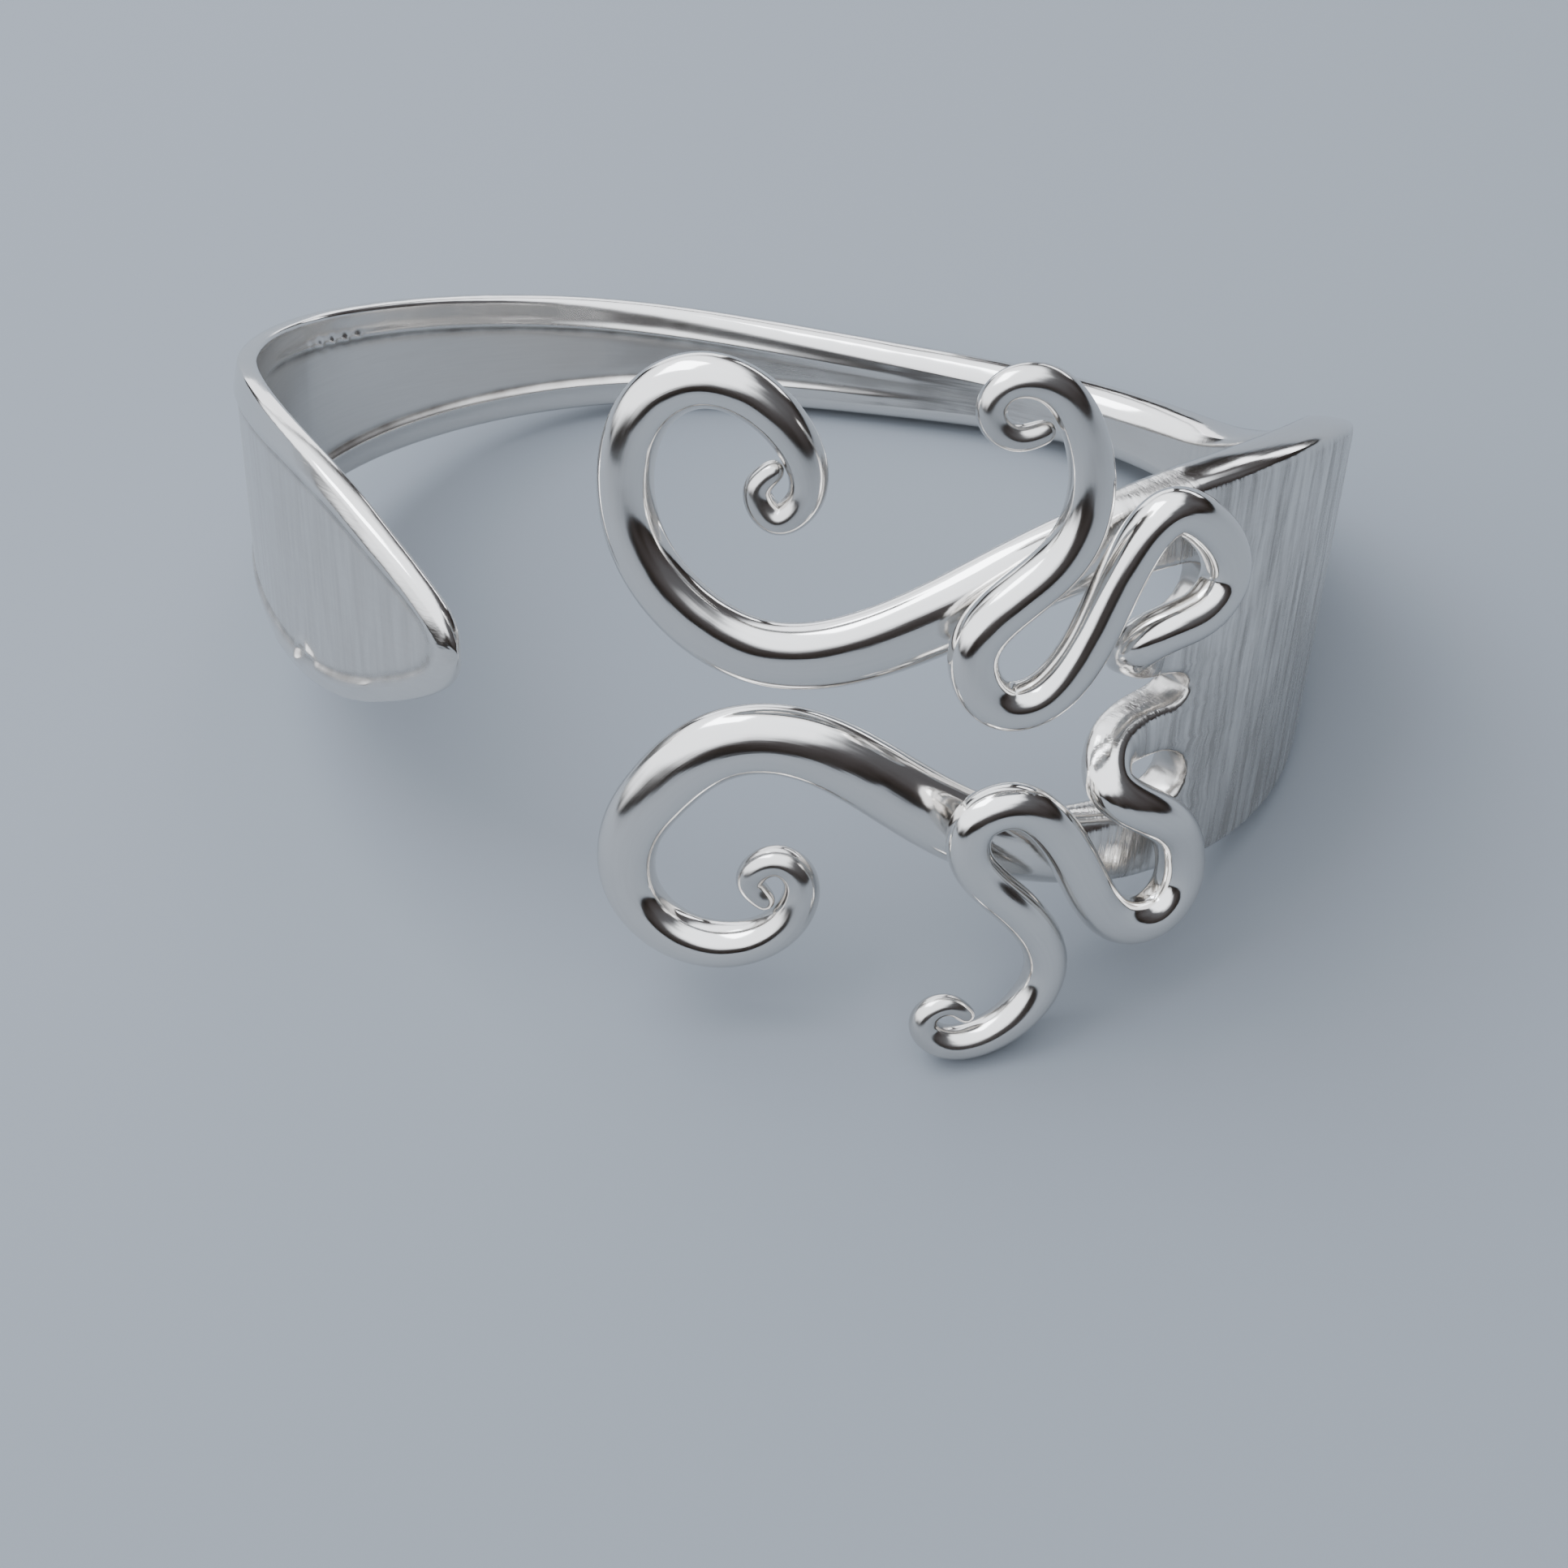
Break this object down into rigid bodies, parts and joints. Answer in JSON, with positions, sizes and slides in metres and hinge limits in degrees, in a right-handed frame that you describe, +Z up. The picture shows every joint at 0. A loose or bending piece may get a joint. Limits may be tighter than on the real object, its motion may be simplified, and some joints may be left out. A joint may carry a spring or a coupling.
{
  "type": "bent fork cuff bracelet",
  "caption": "Open wrist cuff bent from a table fork: its handle wraps the wrist, the outer tines end in large scrolls and the inner tines fold back as serpentines.",
  "frame": {"origin": "centre of the bounding box at the surface that the cuff lies on", "axes": "+Z up as the cuff lies by itself, +X towards the fork's head, -Y towards the scrolls and the mouth"},
  "size_m": [0.064, 0.0552, 0.0355],
  "materials": {
    "silver_plate": "polished silver plate over nickel silver, worn bright, darker in its recesses"
  },
  "bodies": {
    "root": {"fork_cuff": "silver_plate"}
  },
  "joints": []
}
